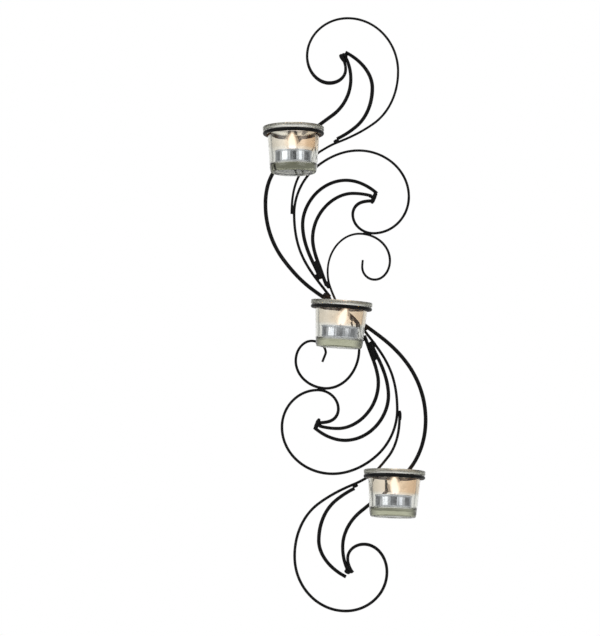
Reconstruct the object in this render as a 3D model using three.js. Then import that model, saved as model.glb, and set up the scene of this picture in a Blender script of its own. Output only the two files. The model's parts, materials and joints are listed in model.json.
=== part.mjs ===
// Wall candle holder: a flat scroll of bent steel rods that carries three glass tealight cups.
// Millimetres, +Z up, front towards -Y, wall on the +Y side. Every length is a real size.
import * as THREE from "three";

// ---- driving dimensions -------------------------------------------------------------------
const SPINE_DIAMETER = 3.5;
const BRANCH_DIAMETER = 3.2;
const THIN_DIAMETER = 2.1;
const ROD_SIDES = 8;
const TOUCH_GAP = 0.3;

const RING_WIRE = 4;
const RING_OUTER_DIAMETER = 63.2;
const RING_STANDOFF = 33.8;

const GLASS_HEIGHT = 48.1;
const GLASS_RIM_DIAMETER = 63.2;
const GLASS_RIM_HEIGHT = 4.4;
const GLASS_MOUTH_DIAMETER = 47;
const GLASS_BODY_TOP_DIAMETER = 52;
const GLASS_BASE_DIAMETER = 48;
const GLASS_FLOOR = 8.1;
const GLASS_WELL_DIAMETER = 41;

const TEALIGHT_DIAMETER = 38;
const TEALIGHT_HEIGHT = 14;
const TEALIGHT_WALL = 0.6;
const WAX_HEIGHT = 10.5;
const WICK_DIAMETER = 1.8;
const WICK_ABOVE_WAX = 6;
const SUSTAINER_DIAMETER = 12;
const SUSTAINER_THICKNESS = 0.8;

const TAB_WIDTH = 12;
const TAB_HEIGHT = 22;
const TAB_THICKNESS = 1.5;
const KEYHOLE_HEAD = 6.5;
const KEYHOLE_SLOT = 3.4;
const KEYHOLE_HEAD_HEIGHT = 0.5;
const KEYHOLE_SLOT_HEIGHT = 6.5;
const TAB_PAD_HEIGHT = -7;

const RING_SEGMENTS = 36;
const LATHE_SEGMENTS = 24;
const SMALL_LATHE_SEGMENTS = 12;

// Stations give a rod's shape as [x, z, heading]: a place on its centre line, measured from the
// middle of the spine, and the way that the rod runs there, in degrees anticlockwise from +X seen
// from the front. The lower half of the scroll is the upper half turned by 180 degrees about the
// middle of the spine; `lower` says how far the hand-bent rod there is turned about its first
// station and shifted before that. A `tail` stands for the lower rod's first stations, as it lies.
const BRANCHES = {
  outer_scroll: {
    diameter: THIN_DIAMETER,
    steps: 56,
    stations: [
      [-5.6, 268.6, -50], [-0.8, 258.5, -77], [-0.4, 253.4, -92], [-17, 239.6, 180],
      [-40.5, 268, 90], [1.9, 307.9, 0], [54.2, 251.8, -90], [29, 197.2, -144],
      [-8.5, 177.4, -159], [-27.5, 167.2, -147], [-44, 149.5, -129], [-55.8, 116, -95],
      [-56.4, 102.3, -90],
    ],
    lower: { turn: 0.9, shift: [-1.6, 0.9] },
  },
  inner_scroll: {
    diameter: THIN_DIAMETER,
    steps: 56,
    stations: [
      [29.5, 116, 180], [19, 115.2, -170], [10.4, 110.8, -132], [7, 101.8, -90],
      [28.4, 82.1, 0], [65.2, 120.4, 90], [12.9, 168.7, 180], [-30.6, 151.6, -140],
      [-53.8, 102.2, -90], [-46.2, 60.3, -67], [-33.6, 38.4, -54], [-16.4, 16, -51],
    ],
    lower: { turn: 0, shift: [0.9, -1] },
  },
  small_scroll: {
    diameter: THIN_DIAMETER,
    steps: 34,
    stations: [
      [17.4, 54.2, -97], [16.8, 46.9, -90], [29.7, 33.7, 0], [45.5, 53.6, 90],
      [14, 81.6, 180], [-19, 42, -90], [-16.8, 27.1, -71], [-10.1, 10.8, -64],
    ],
    lower: { turn: -5, shift: [6.5, -2.6], tail: [[-24.5, -51.9, 68], [-20.9, -42.4, 90]] },
  },
  comma_rod: {
    diameter: BRANCH_DIAMETER,
    steps: 18,
    stations: [
      [-0.6, 272, -27], [27.4, 234.5, -90], [10.7, 194, -139], [-9.4, 180.9, -154],
    ],
    lower: { turn: 0, shift: [0.6, 1.9] },
  },
  outer_leaf: {
    diameter: BRANCH_DIAMETER,
    steps: 22,
    stations: [
      [32.2, 123.7, 138], [0, 137.5, 180], [-36.6, 117, -124], [-45, 91, -90],
      [-34.5, 52.1, -64], [-26.7, 35.8, -63],
    ],
    lower: { turn: 0.8, shift: [0.7, -3.9] },
  },
  inner_leaf: {
    diameter: BRANCH_DIAMETER,
    steps: 20,
    stations: [
      [26.5, 121.1, 164], [7.3, 123.8, 180], [-23.1, 108, -130], [-34.6, 76.1, -90],
      [-28.5, 50.4, -69], [-20.2, 27.4, -69],
    ],
    lower: { turn: 0, shift: [1.2, -2.9] },
  },
};

const SPINE_STEPS = 80;
const SPINE_STATIONS = [
  [-0.4, 266.8, -63], [5, 243.9, -90], [-14.5, 205.4, -144], [-42, 184.3, -140],
  [-75.5, 145.5, -122], [-83.6, 112.7, -90], [-65.5, 55.5, -54], [-38.7, 26.5, -39],
  [0, 0, -35],
  [37, -26.8, -38], [64.3, -55, -55], [82.2, -112, -90], [66, -162.3, -128],
  [45, -182.6, -142], [15.5, -206.3, -141], [-3.4, -243, -90], [1.6, -266.3, -63],
];

// Each cup's ring, seen from the front: its middle, its roll in the plane of the scroll, and its
// nod, which lowers the front edge.
const CUPS = {
  top: { x: -54.2, z: 181.7, roll: 0, nod: -1.5 },
  middle: { x: -4.7, z: 0.9, roll: -3.8, nod: 3 },
  bottom: { x: 49.5, z: -173.2, roll: -2, nod: 0 },
};

const TABS = {
  upper: { x: -56, z: 179 },
  lower: { x: 44.5, z: -176 },
};

// ---- materials ----------------------------------------------------------------------------
const surface = (color, roughness, metalness) => (
  new THREE.MeshStandardMaterial({ color, roughness, metalness })
);
const BLACK_ENAMEL = surface(0x141414, 0.35, 0.4);
const CLEAR_GLASS = surface(0xcfd6cc, 0.08, 0);
const ALUMINIUM = surface(0xc4c8d0, 0.25, 1);
const WAX = surface(0xf3ead6, 0.5, 0);
const TINPLATE = surface(0xb0b0ac, 0.35, 1);
const CHARRED_COTTON = surface(0x2a2118, 0.9, 0);

function piece(name, geometry, material) {
  const mesh = new THREE.Mesh(geometry, material);
  mesh.name = name;
  return mesh;
}

// ---- bent rods ----------------------------------------------------------------------------
function direction(heading) {
  const angle = THREE.MathUtils.degToRad(heading);
  return new THREE.Vector3(Math.cos(angle), 0, Math.sin(angle));
}

// A cubic curve between two stations that follows a circular arc where their tangents allow one:
// each handle is the arc's share of the way to the point where the two tangents meet.
function bend(from, to) {
  const start = new THREE.Vector3(from[0], 0, from[1]);
  const end = new THREE.Vector3(to[0], 0, to[1]);
  const leave = direction(from[2]);
  const arrive = direction(to[2]);
  const chord = end.clone().sub(start);
  const cross = (a, b) => a.x * b.z - a.z * b.x;
  const sine = cross(leave, arrive);
  const turning = Math.abs(Math.atan2(sine, leave.dot(arrive)));
  let startHandle = cross(chord, arrive) / sine;
  let endHandle = cross(leave, chord) / sine;
  if (Math.abs(sine) > 1e-6 && startHandle > 0 && endHandle > 0) {
    const share = (4 / 3) * Math.tan(turning / 4) / Math.tan(turning / 2);
    startHandle *= share;
    endHandle *= share;
  } else {
    startHandle = chord.length() / 3;
    endHandle = startHandle;
  }
  return new THREE.CubicBezierCurve3(
    start,
    start.clone().addScaledVector(leave, startHandle),
    end.clone().addScaledVector(arrive, -endHandle),
    end,
  );
}

function centreLine(stations) {
  const path = new THREE.CurvePath();
  for (let i = 1; i < stations.length; i += 1) {
    path.add(bend(stations[i - 1], stations[i]));
  }
  return path;
}

function lowerStations({ stations, lower: { turn, shift, tail = [] } }) {
  const [firstX, firstZ] = stations[0];
  const angle = THREE.MathUtils.degToRad(turn);
  const cosine = Math.cos(angle);
  const sine = Math.sin(angle);
  const rest = stations.slice(tail.length).map(([x, z, heading]) => {
    const dx = x - firstX;
    const dz = z - firstZ;
    const turnedX = firstX + dx * cosine - dz * sine;
    const turnedZ = firstZ + dx * sine + dz * cosine;
    return [-(turnedX + shift[0]), -(turnedZ + shift[1]), heading + turn + 180];
  });
  return [...tail, ...rest];
}

// A rod is a many-sided section carried along its centre line.
function rod(name, stations, diameter, steps) {
  const section = new THREE.Shape();
  for (let i = 0; i < ROD_SIDES; i += 1) {
    const angle = ((i + 0.5) / ROD_SIDES) * 2 * Math.PI;
    const corner = [Math.cos(angle) * diameter / 2, Math.sin(angle) * diameter / 2];
    if (i === 0) section.moveTo(...corner);
    else section.lineTo(...corner);
  }
  section.closePath();
  const geometry = new THREE.ExtrudeGeometry(section, {
    steps,
    curveSegments: 1,
    bevelEnabled: false,
    extrudePath: centreLine(stations),
  });
  return piece(name, geometry, BLACK_ENAMEL);
}

function scrollwork() {
  const group = new THREE.Group();
  group.add(rod("spine_rod", SPINE_STATIONS, SPINE_DIAMETER, SPINE_STEPS));
  for (const [name, branch] of Object.entries(BRANCHES)) {
    const { diameter, steps, stations } = branch;
    group.add(rod(`upper_${name}`, stations, diameter, steps));
    group.add(rod(`lower_${name}`, lowerStations(branch), diameter, steps));
  }
  return group;
}

// ---- cups, made about their own axis with z = 0 at the middle of the ring's wire -------------
function turned(profile, segments = LATHE_SEGMENTS) {
  const points = profile.map(([radius, height]) => new THREE.Vector2(radius, height));
  const geometry = new THREE.LatheGeometry(points, segments);
  geometry.rotateX(Math.PI / 2);
  return geometry;
}

const RIM_UNDERSIDE = RING_WIRE / 2 + TOUCH_GAP;
const GLASS_TOP = RIM_UNDERSIDE + GLASS_RIM_HEIGHT;
const GLASS_BOTTOM = GLASS_TOP - GLASS_HEIGHT;
const WELL_FLOOR = GLASS_BOTTOM + GLASS_FLOOR;

function ring(name) {
  const middle = (RING_OUTER_DIAMETER - RING_WIRE) / 2;
  const geometry = new THREE.TorusGeometry(middle, RING_WIRE / 2, ROD_SIDES, RING_SEGMENTS);
  return piece(`${name}_ring`, geometry, BLACK_ENAMEL);
}

// Outside from the hollowed base up to the flared rim, then down the inside to the well.
function glass(name) {
  const base = GLASS_BASE_DIAMETER / 2;
  const bodyTop = GLASS_BODY_TOP_DIAMETER / 2;
  const rim = GLASS_RIM_DIAMETER / 2;
  const mouth = GLASS_MOUTH_DIAMETER / 2;
  const well = GLASS_WELL_DIAMETER / 2;
  return piece(`${name}_glass`, turned([
    [0, GLASS_BOTTOM + 0.8],
    [base - 5, GLASS_BOTTOM + 0.8],
    [base - 3.5, GLASS_BOTTOM],
    [base - 1, GLASS_BOTTOM + 1],
    [base, GLASS_BOTTOM + 3.5],
    [bodyTop, 0],
    [bodyTop + 0.6, RIM_UNDERSIDE],
    [rim - 2.4, RIM_UNDERSIDE + 0.3],
    [rim, RIM_UNDERSIDE + 2],
    [rim, GLASS_TOP - 1.2],
    [rim - 1.2, GLASS_TOP],
    [mouth + 1.5, GLASS_TOP],
    [mouth, GLASS_TOP - 1.5],
    [well + 0.2, WELL_FLOOR + 2],
    [well - 1, WELL_FLOOR + 0.4],
    [well - 3, WELL_FLOOR],
    [0, WELL_FLOOR],
  ]), CLEAR_GLASS);
}

const TEALIGHT_BOTTOM = WELL_FLOOR + TOUCH_GAP;
const TEALIGHT_TOP = TEALIGHT_BOTTOM + TEALIGHT_HEIGHT;

function tealightCup(name) {
  const outer = TEALIGHT_DIAMETER / 2;
  const inner = outer - TEALIGHT_WALL;
  const lip = 0.5;
  return piece(`${name}_tealight_cup`, turned([
    [0, TEALIGHT_BOTTOM],
    [outer - 2, TEALIGHT_BOTTOM],
    [outer - 0.5, TEALIGHT_BOTTOM + 1.5],
    [outer - 0.3, TEALIGHT_TOP - 1.2],
    [outer + lip, TEALIGHT_TOP - 0.8],
    [outer + lip, TEALIGHT_TOP],
    [inner - 0.3, TEALIGHT_TOP],
    [inner - 0.5, TEALIGHT_BOTTOM + 1.5],
    [inner - 2, TEALIGHT_BOTTOM + TEALIGHT_WALL],
    [0, TEALIGHT_BOTTOM + TEALIGHT_WALL],
  ]), ALUMINIUM);
}

const WAX_BOTTOM = TEALIGHT_BOTTOM + TEALIGHT_WALL + TOUCH_GAP;
const WAX_TOP = WAX_BOTTOM + WAX_HEIGHT;
const SUSTAINER_TOP = WAX_BOTTOM + SUSTAINER_THICKNESS;

// The wax is cast round the wick and its sustainer, so it has a stepped hole up its middle.
function wax(name) {
  const outer = TEALIGHT_DIAMETER / 2 - TEALIGHT_WALL - 0.5 - TOUCH_GAP;
  const plate = SUSTAINER_DIAMETER / 2 + TOUCH_GAP;
  const bore = WICK_DIAMETER / 2 + TOUCH_GAP;
  return piece(`${name}_wax`, turned([
    [plate, WAX_BOTTOM],
    [outer - 2.2, WAX_BOTTOM],
    [outer - 0.3, WAX_BOTTOM + 2],
    [outer, WAX_TOP],
    [outer - 4, WAX_TOP - 0.8],
    [bore, WAX_TOP - 1],
    [bore, SUSTAINER_TOP + TOUCH_GAP],
    [plate, SUSTAINER_TOP + TOUCH_GAP],
    [plate, WAX_BOTTOM],
  ]), WAX);
}

function sustainer(name) {
  const radius = SUSTAINER_DIAMETER / 2;
  return piece(`${name}_wick_sustainer`, turned([
    [0, WAX_BOTTOM],
    [radius, WAX_BOTTOM],
    [radius, SUSTAINER_TOP],
    [0, SUSTAINER_TOP],
  ], SMALL_LATHE_SEGMENTS), TINPLATE);
}

function wick(name) {
  const radius = WICK_DIAMETER / 2;
  const bottom = SUSTAINER_TOP + TOUCH_GAP;
  const top = WAX_TOP + WICK_ABOVE_WAX;
  return piece(`${name}_wick`, turned([
    [0, bottom],
    [radius, bottom],
    [radius, top - 1],
    [radius / 2, top],
    [0, top],
  ], SMALL_LATHE_SEGMENTS), CHARRED_COTTON);
}

function cup(name, { x, z, roll, nod }) {
  const group = new THREE.Group();
  group.add(ring(name), glass(name), tealightCup(name), wax(name), sustainer(name), wick(name));
  group.position.set(x, -RING_STANDOFF, z);
  group.rotation.set(
    THREE.MathUtils.degToRad(nod),
    THREE.MathUtils.degToRad(-roll),
    0,
    "YXZ",
  );
  return group;
}

// ---- hanger tabs: flat plates on the back of the spine, each with a keyhole for a wall screw ---
const WALL_FACE = SPINE_DIAMETER / 2 + TOUCH_GAP + TAB_THICKNESS;

function hangerTab(name, { x, z }) {
  const corner = 3;
  const side = TAB_WIDTH / 2 - corner;
  const end = TAB_HEIGHT / 2 - corner;
  const quarter = Math.PI / 2;
  const outline = new THREE.Shape();
  outline.absarc(side, -end, corner, -quarter, 0);
  outline.absarc(side, end, corner, 0, quarter);
  outline.absarc(-side, end, corner, quarter, 2 * quarter);
  outline.absarc(-side, -end, corner, 2 * quarter, 3 * quarter);
  outline.closePath();

  const headRadius = KEYHOLE_HEAD / 2;
  const slotRadius = KEYHOLE_SLOT / 2;
  const halfNeck = Math.asin(slotRadius / headRadius);
  const keyhole = new THREE.Path();
  keyhole.absarc(0, KEYHOLE_HEAD_HEIGHT, headRadius, quarter + halfNeck, 5 * quarter - halfNeck);
  keyhole.absarc(0, KEYHOLE_SLOT_HEIGHT, slotRadius, 0, 2 * quarter);
  keyhole.closePath();
  outline.holes.push(keyhole);

  const geometry = new THREE.ExtrudeGeometry(outline, {
    depth: TAB_THICKNESS,
    curveSegments: 5,
    bevelEnabled: false,
  });
  geometry.rotateX(quarter);
  geometry.translate(x, WALL_FACE, z);
  return piece(`${name}_hanger_tab`, geometry, BLACK_ENAMEL);
}

// ---- assembly: the origin is on the back of the upper hanger tab, below its keyhole -----------
const rack = new THREE.Group();
rack.add(scrollwork());
for (const [name, place] of Object.entries(CUPS)) {
  rack.add(cup(name, place));
}
for (const [name, place] of Object.entries(TABS)) {
  rack.add(hangerTab(name, place));
}
rack.position.set(-TABS.upper.x, -WALL_FACE, -TABS.upper.z - TAB_PAD_HEIGHT);
export default rack;
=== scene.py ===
import json
import math
import bpy
import numpy as np
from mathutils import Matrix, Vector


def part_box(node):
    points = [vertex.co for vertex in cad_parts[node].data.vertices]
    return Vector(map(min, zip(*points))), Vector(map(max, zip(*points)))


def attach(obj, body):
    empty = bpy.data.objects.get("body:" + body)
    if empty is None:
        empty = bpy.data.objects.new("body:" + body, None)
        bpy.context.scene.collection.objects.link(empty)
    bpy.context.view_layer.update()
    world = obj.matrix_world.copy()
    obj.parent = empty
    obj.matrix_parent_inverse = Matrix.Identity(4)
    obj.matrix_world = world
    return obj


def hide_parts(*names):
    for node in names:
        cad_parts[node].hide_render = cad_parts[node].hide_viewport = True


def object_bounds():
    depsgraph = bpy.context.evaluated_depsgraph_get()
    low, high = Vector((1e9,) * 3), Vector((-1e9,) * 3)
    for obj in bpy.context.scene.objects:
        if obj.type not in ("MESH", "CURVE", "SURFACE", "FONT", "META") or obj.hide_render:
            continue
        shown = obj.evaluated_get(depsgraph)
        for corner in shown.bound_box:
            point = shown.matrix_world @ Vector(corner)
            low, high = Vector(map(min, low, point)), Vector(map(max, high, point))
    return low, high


# Wall candle holder: a flat scroll of bent, black enamelled steel rods with three rings, and in
# each ring a loose glass cup with a burning tealight. Metres, +Z up, front towards -Y.
# Sizes below are in millimetres unless their name says otherwise; MM turns them into metres.

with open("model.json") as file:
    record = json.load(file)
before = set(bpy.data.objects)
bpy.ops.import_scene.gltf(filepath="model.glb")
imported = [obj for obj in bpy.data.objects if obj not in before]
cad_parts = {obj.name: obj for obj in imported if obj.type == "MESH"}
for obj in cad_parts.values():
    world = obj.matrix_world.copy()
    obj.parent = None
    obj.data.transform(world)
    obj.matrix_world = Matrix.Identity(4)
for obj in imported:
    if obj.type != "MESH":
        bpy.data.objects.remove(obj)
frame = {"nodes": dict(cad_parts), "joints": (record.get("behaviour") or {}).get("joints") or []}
cad_low, cad_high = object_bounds()

MM = 0.001

# ---- driving sizes ---------------------------------------------------------------------------
# The middle of the spine, from which every station of the scrollwork is measured.
SCROLL_MIDDLE = np.array([56.0, -3.55, -172.0])

# Stations give a rod's shape as [x, z, heading]: a place on its centre line and the way that the
# rod runs there, in degrees anticlockwise from +X seen from the front. The lower half of the
# scroll is the upper half turned by 180 degrees; `turn` and `shift` say how far the hand-bent
# rod there is off that, and a `tail` stands for the lower rod's first stations, as it lies.
# `upper` and `lower` give the rod's thickness before its coat, as (share of its length, mm).
BRANCHES = {
    "outer_scroll": {
        "stations": [
            [-5.6, 268.6, -50], [-0.8, 258.5, -77], [-0.4, 253.4, -92], [-17, 239.6, 180],
            [-40.5, 268, 90], [1.9, 307.9, 0], [54.2, 251.8, -90], [29, 197.2, -144],
            [-8.5, 177.4, -159], [-27.5, 167.2, -147], [-44, 149.5, -129], [-55.8, 116, -95],
            [-56.4, 102.3, -90],
        ],
        "turn": 0.9,
        "shift": [-1.6, 0.9],
        "upper": [(0, 2.6), (0.03, 2.4), (0.065, 3.0), (0.094, 3.6), (0.13, 3.0), (0.18, 2.1),
                  (0.25, 1.9), (1, 1.9)],
        "lower": [(0, 2.6), (0.06, 2.6), (0.1, 2.9), (0.16, 2.5), (0.3, 2.4), (1, 2.2)],
    },
    "inner_scroll": {
        "stations": [
            [29.5, 116, 180], [19, 115.2, -170], [10.4, 110.8, -132], [7, 101.8, -90],
            [28.4, 82.1, 0], [65.2, 120.4, 90], [12.9, 168.7, 180], [-30.6, 151.6, -140],
            [-53.8, 102.2, -90], [-46.2, 60.3, -67], [-33.6, 38.4, -54], [-16.4, 16, -51],
        ],
        "turn": 0,
        "shift": [0.9, -1],
        "upper": [(0, 2.9), (0.04, 3.0), (0.08, 2.3), (0.14, 2.1), (0.5, 2.0), (1, 2.3)],
        "lower": [(0, 2.9), (0.04, 3.0), (0.08, 2.4), (0.14, 2.2), (0.5, 2.3), (1, 2.2)],
    },
    "small_scroll": {
        "stations": [
            [17.4, 54.2, -97], [16.8, 46.9, -90], [29.7, 33.7, 0], [45.5, 53.6, 90],
            [14, 81.6, 180], [-19, 42, -90], [-16.8, 27.1, -71], [-10.1, 10.8, -64],
        ],
        "turn": -5,
        "shift": [6.5, -2.6],
        "tail": [[-24.5, -51.9, 68], [-20.9, -42.4, 90]],
        "upper": [(0, 1.6), (0.1, 1.9), (0.4, 1.9), (0.6, 1.6), (0.8, 1.5), (1, 1.9)],
        "lower": [(0, 1.9), (0.2, 2.1), (0.6, 2.3), (1, 2.1)],
    },
    "comma_rod": {
        "stations": [
            [-0.6, 272, -27], [27.4, 234.5, -90], [10.7, 194, -139], [-9.4, 180.9, -154],
        ],
        "turn": 0,
        "shift": [0.6, 1.9],
        "upper": [(0, 3.0), (0.5, 3.4), (1, 3.0)],
        "lower": [(0, 3.0), (0.5, 3.3), (1, 3.0)],
    },
    "outer_leaf": {
        "stations": [
            [32.2, 123.7, 138], [0, 137.5, 180], [-36.6, 117, -124], [-45, 91, -90],
            [-34.5, 52.1, -64], [-26.7, 35.8, -63],
        ],
        "turn": 0.8,
        "shift": [0.7, -3.9],
        "upper": [(0, 2.9), (0.5, 3.1), (0.8, 3.2), (1, 3.1)],
        "lower": [(0, 2.9), (0.5, 3.2), (1, 3.1)],
    },
    "inner_leaf": {
        "stations": [
            [26.5, 121.1, 164], [7.3, 123.8, 180], [-23.1, 108, -130], [-34.6, 76.1, -90],
            [-28.5, 50.4, -69], [-20.2, 27.4, -69],
        ],
        "turn": 0,
        "shift": [1.2, -2.9],
        "upper": [(0, 2.8), (0.5, 3.1), (0.8, 3.2), (1, 3.1)],
        "lower": [(0, 2.8), (0.5, 3.2), (1, 3.1)],
    },
}
SPINE_STATIONS = [
    [-0.4, 266.8, -63], [5, 243.9, -90], [-14.5, 205.4, -144], [-42, 184.3, -140],
    [-75.5, 145.5, -122], [-83.6, 112.7, -90], [-65.5, 55.5, -54], [-38.7, 26.5, -39],
    [0, 0, -35],
    [37, -26.8, -38], [64.3, -55, -55], [82.2, -112, -90], [66, -162.3, -128],
    [45, -182.6, -142], [15.5, -206.3, -141], [-3.4, -243, -90], [1.6, -266.3, -63],
]
SPINE_THICKNESS = [(0, 2.9), (0.1, 3.3), (0.3, 3.5), (0.7, 3.5), (0.9, 3.2), (1, 2.9)]

# COAT is added to the radius of every rod. It is a guess, made so that the thin rods look as dark
# as they should, and it is thicker than a real coat of enamel. ENAMEL_RUN is how uneven it is.
ROD_SIDES = 20
ROD_STEP = 1.3
CUT_EDGE = 0.16
COAT = 0.3
ENAMEL_RUN = 0.035
ENAMEL_RUN_PITCH = 9.0

# Weld beads on the upper half, as (x, z, heading, length, width). The lower half has the same
# beads turned by 180 degrees and moved by LOWER_WELD_SHIFT.
WELDS = {
    "tip": [(-3.6, 266.0, -58, 9.4, 5.0), (-1.4, 268.6, -30, 6.5, 4.6)],
    "leaf_tips": [(28.8, 118.8, 68, 12.4, 4.8), (30.2, 122.2, 60, 5.0, 4.4),
                  (26.6, 120.4, 170, 6.0, 3.4)],
    "leaf_ends": [(-28.2, 44.5, -68, 19.0, 4.4), (-27.2, 38.4, -64, 8.5, 6.6)],
    "outer_leaf_end": [(-30.0, 36.0, -58, 7.0, 3.6)],
    "inner_leaf_end": [(-19.2, 28.2, -66, 8.0, 4.2)],
    "comma_end": [(-10.2, 178.9, -156, 6.0, 3.2)],
    "scroll_touch": [(22.4, 82.0, -6, 9.0, 2.4)],
    "scroll_end": [(-55.2, 106.6, -90, 9.5, 2.6)],
    "spine_join": [(-19.4, 16.0, -42, 10.0, 5.0)],
    "small_join": [(-9.0, 8.0, -50, 7.0, 3.2)],
}
LOWER_WELD_SHIFT = {
    "tip": (0.0, 0.0), "leaf_tips": (-0.9, 2.6), "leaf_ends": (-1.0, 3.2),
    "outer_leaf_end": (-0.8, 3.0), "inner_leaf_end": (-2.4, 1.6), "comma_end": (-0.6, -1.6),
    "scroll_touch": (-3.2, 1.2), "scroll_end": (1.0, -1.2), "spine_join": (-0.9, 1.0),
    "small_join": (-2.0, 0.5),
}
WELD_DEPTH_SHARE = 1.12
BEAD_RIPPLE = 0.05
BEAD_RIPPLE_PITCH = 1.1
BEAD_BLUNTNESS = 0.62
BEAD_LUMPS = 0.07
BEAD_LUMP_PITCH = 4.0

# The bead behind each ring: its length, width and depth, and how far before the middle of the
# scroll's thickness it lies. It is looked for within RING_WELD_REACH to each side of the ring.
RING_WELD = (9.0, 3.6, 3.4)
RING_WELD_Y = -2.5
RING_WELD_REACH = 25

# The two beads of a hanger tab: their length and width, how far behind the middle of the
# scroll's thickness they lie, and their places to each side of the tab's middle.
TAB_WELD = (6.0, 3.4)
TAB_WELD_Y = 0.9
TAB_WELD_STEP = (3.6, 3.4)

CUPS = ("top", "middle", "bottom")
RING_SEAM = {"top": 152, "middle": 208, "bottom": 37}
CUP_PLACES = 128
TOUCH_GAP = 0.3
WALL_WANDER = 0.12
SEAM_RISE = 0.1
SEAM_WIDTH = 0.035
FOIL_LIP_ROLL = 0.5
PLEAT_DEPTH = 0.07
FOIL_DENT = 0.12
POOL_UNEVEN = 0.16
MOUTH_RADIUS = 23.5
WELL_RADIUS = 20.5
BODY_RADIUS = 26.7
BASE_RADIUS = 24.0
PLEATS = 40

# Each flame's foot and how far its tip leans to the right of that, its height, how far and
# which way (in degrees from the right) the end of the wick curls, and how far to the right of
# the cup's axis the painted flame light on the glass is strongest and how far it reaches.
FLAME = {
    "top": {"foot": -1.2, "lean": -0.6, "height": 21.0, "curl": 6.2, "turn": 184,
            "painted_light": (10.0, 31.0)},
    "middle": {"foot": 0.6, "lean": 4.2, "height": 20.5, "curl": 0.9, "turn": -40,
               "painted_light": (4.0, 27.0)},
    "bottom": {"foot": 1.4, "lean": -1.8, "height": 21.5, "curl": 1.4, "turn": 20,
               "painted_light": (7.0, 30.0)},
}

# A flame's shells from the outside in, as (name, widest radius, height of its foot above the
# foil's lip, share of the flame's height).
FLAME_SHELLS = [("mantle", 7.6, -0.6, 1.10), ("body", 5.4, 0.0, 1.02),
                ("heart", 4.4, 0.5, 0.94), ("core", 3.2, 1.2, 0.84)]

# Heights above the foil's lip of the flame's lamp, and of the point from which the painted
# flame light on the glass, the wax and the rods fades.
LAMP_HEIGHT = 10.0
PAINTED_LIGHT_HEIGHT = 11.0
FLAME_POWER = 0.018
FLAME_COLOUR = (1.0, 0.56, 0.24)
FLAME_LAMP_RADIUS_M = 0.003
FLAME_SWAY = 0.25
# How far from a flame the painted flame light on the rods and their beads reaches, and over how
# many millimetres it grows to full.
ROD_GLOW_REACH = 46.0
ROD_PAINTED_LIGHT_FADE = 10.0

TABS = ("upper", "lower")


# ---- skins: grids of points made into meshes -------------------------------------------------
def patch(points, closed=False):
    """One closed skin over points[row, place]. Places always go round. Rows either come round
    too (closed), or the first and the last row are each gathered into one point.
    Returns vertices, faces and, corner by corner, the (along, round) coordinates."""
    rows, places = points.shape[:2]
    along = np.arange(rows) / (rows if closed else rows - 1)
    if closed:
        vertices = points.reshape(-1, 3)
        index = np.arange(rows * places).reshape(rows, places)
        index = np.vstack([index, index[:1]])
        along = np.append(along, 1.0)
    else:
        middle = points[1:-1].reshape(-1, 3)
        vertices = np.vstack([points[0].mean(axis=0), middle, points[-1].mean(axis=0)])
        index = 1 + np.arange((rows - 2) * places).reshape(rows - 2, places)
        along = along[1:-1]
    after = np.roll(index, -1, axis=1)
    quads = np.stack([index[:-1], after[:-1], after[1:], index[1:]], axis=-1).reshape(-1, 4)
    left = np.tile(np.arange(places) / places, (len(index) - 1, 1))
    right = left + 1 / places
    low = np.repeat(along[:-1, None], places, axis=1)
    high = np.repeat(along[1:, None], places, axis=1)
    corners = [np.stack(pair, axis=-1) for pair in
               ((low, left), (low, right), (high, right), (high, left))]
    quad_uv = np.stack(corners, axis=2).reshape(-1, 2)
    faces = quads.tolist()
    uv = [quad_uv]
    if not closed:
        last = len(vertices) - 1
        first_fan = np.stack([np.zeros(places, int), after[0], index[0]], axis=-1)
        last_fan = np.stack([np.full(places, last), index[-1], after[-1]], axis=-1)
        faces += first_fan.tolist() + last_fan.tolist()
        here = left[0]
        there = right[0]
        half = (here + there) / 2
        for tip, near, pair in ((0.0, along[0], (there, here)), (1.0, along[-1], (here, there))):
            fan = [np.stack([np.full(places, tip), half], axis=-1)]
            fan += [np.stack([np.full(places, near), side], axis=-1) for side in pair]
            uv.append(np.stack(fan, axis=1).reshape(-1, 2))
    faces, uv = outward(vertices, faces, np.vstack(uv))
    return vertices, faces, uv


def outward(vertices, faces, uv):
    """Turns every face round where the skin encloses a negative volume: the sum of a . (b x c)
    over the triangles of its faces, which is six times the volume."""
    fans = np.array([[f[0], f[i], f[i + 1]] for f in faces for i in range(1, len(f) - 1)])
    a, b, c = (vertices[fans[:, k]] for k in range(3))
    if np.einsum("ij,ij->i", a, np.cross(b, c)).sum() >= 0:
        return faces, uv
    sizes = [len(f) for f in faces]
    starts = np.concatenate([[0], np.cumsum(sizes)[:-1]])
    order = np.concatenate([np.arange(s + n - 1, s - 1, -1) for s, n in zip(starts, sizes)])
    return [f[::-1] for f in faces], uv[order]


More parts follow.
